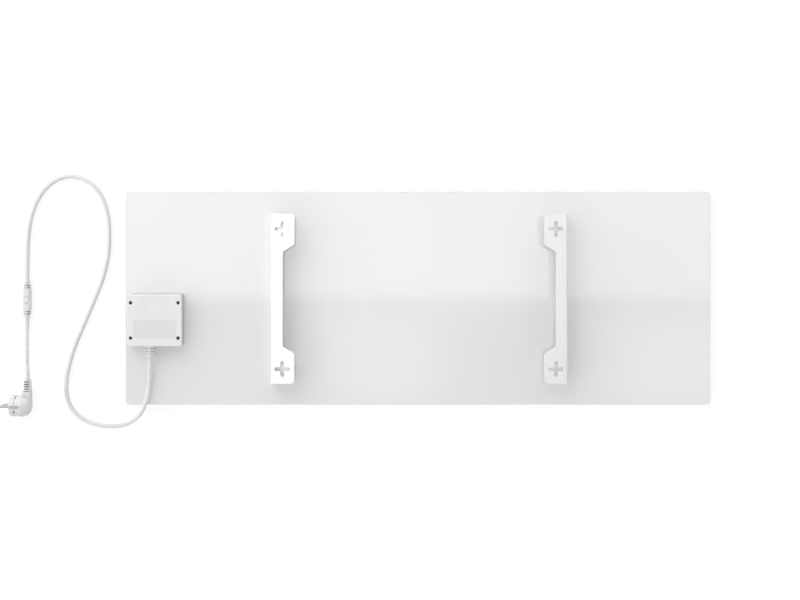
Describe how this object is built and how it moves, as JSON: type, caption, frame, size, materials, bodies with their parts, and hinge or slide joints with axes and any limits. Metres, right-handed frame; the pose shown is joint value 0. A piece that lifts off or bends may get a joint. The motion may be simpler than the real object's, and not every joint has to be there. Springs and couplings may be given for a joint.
{
  "type": "infrared panel heater",
  "caption": "Flat frameless glass heating panel lying face down, with bent wall brackets, a connection box and a mains cord with an inline rocker switch and a plug.",
  "frame": {"origin": "middle of the panel's front face, which is the face that it lies on", "axes": "+X along the panel away from the connection box, +Y across it, +Z out of the rear towards the wall"},
  "size_m": [1.3308, 0.4797, 0.0431],
  "materials": {
    "front_glass": "polished tempered glass, enamelled white behind",
    "rear_glass": "polished tempered glass, white enamel",
    "carbon_film": "printed carbon film",
    "copper_strip": "rolled copper strip",
    "mica_sheet": "pressed mica sheet",
    "reflector_foil": "bright rolled foil",
    "clear_silicone": "cured translucent silicone",
    "bracket_metal": "satin anodised bent sheet",
    "foam_tape": "closed-cell bonding tape",
    "box_plastic": "fine-textured moulded plastic",
    "grey_rubber": "moulded silicone gasket",
    "zinc_screw": "bright zinc plate",
    "cord_sheath": "smooth extruded sheath",
    "clear_nylon": "natural moulded nylon",
    "brass_screw": "turned brass",
    "limiter_case": "moulded phenolic body",
    "wire_earth": "extruded insulation",
    "wire_blue": "extruded insulation",
    "wire_brown": "extruded insulation",
    "switch_plastic": "satin moulded plastic",
    "rocker_plastic": "polished moulded plastic",
    "steel_pin": "ground steel",
    "contact_brass": "stamped brass strip",
    "plug_plastic": "satin over-moulded plastic",
    "carrier_plastic": "moulded insulating plate",
    "nickel_pin": "nickel plate"
  },
  "bodies": {
    "heater": {"front_glass": "front_glass", "heating_film": "carbon_film", "busbar_upper": "copper_strip", "busbar_lower": "copper_strip", "insulation_sheet": "mica_sheet", "reflector_sheet": "reflector_foil", "edge_seal": "clear_silicone", "rear_glass": "rear_glass", "bracket_left": "bracket_metal", "bracket_right": "bracket_metal", "bracket_bond_left": "foam_tape", "bracket_bond_right": "foam_tape", "box_bond": "foam_tape", "box_base": "box_plastic", "box_gasket": "grey_rubber", "box_cover": "box_plastic", "cover_screw_1": "zinc_screw", "cover_screw_2": "zinc_screw", "cover_screw_3": "zinc_screw", "cover_screw_4": "zinc_screw", "cord_gland": "cord_sheath", "cord_tail": "cord_sheath", "cord_clamp": "box_plastic", "clamp_screw_1": "zinc_screw", "clamp_screw_2": "zinc_screw", "terminal_block": "clear_nylon", "terminal_screw_1": "brass_screw", "terminal_screw_2": "brass_screw", "terminal_screw_3": "brass_screw", "terminal_screw_4": "brass_screw", "terminal_screw_5": "brass_screw", "terminal_screw_6": "brass_screw", "thermal_limiter": "limiter_case", "cord_core_earth": "wire_earth", "cord_core_neutral": "wire_blue", "cord_core_live": "wire_brown", "earth_lead": "wire_earth", "film_lead_neutral": "wire_blue", "limiter_lead": "wire_brown", "film_lead_live": "wire_brown", "cord_long": "cord_sheath", "cord_short": "cord_sheath", "switch_lower_shell": "switch_plastic", "switch_upper_shell": "switch_plastic", "switch_rocker_pin": "steel_pin", "switch_fixed_contact": "contact_brass", "switch_spring_contact": "contact_brass", "switch_boot_in": "cord_sheath", "switch_boot_out": "cord_sheath", "switch_screw_1": "zinc_screw", "switch_screw_2": "zinc_screw", "plug_body": "plug_plastic", "plug_pin_carrier": "carrier_plastic", "plug_pin_upper": "nickel_pin", "plug_pin_lower": "nickel_pin", "plug_earth_clip_left": "nickel_pin", "plug_earth_clip_right": "nickel_pin", "plug_relief": "plug_plastic"},
    "rocker": {"switch_rocker": "rocker_plastic"}
  },
  "joints": [
    {"name": "rocker_tilt", "type": "hinge", "parent": "heater", "child": "rocker", "pos_m": [-0.737, -0.0028, 0.01], "axis": [1, 0, 0], "range_deg": [0, 16]}
  ]
}
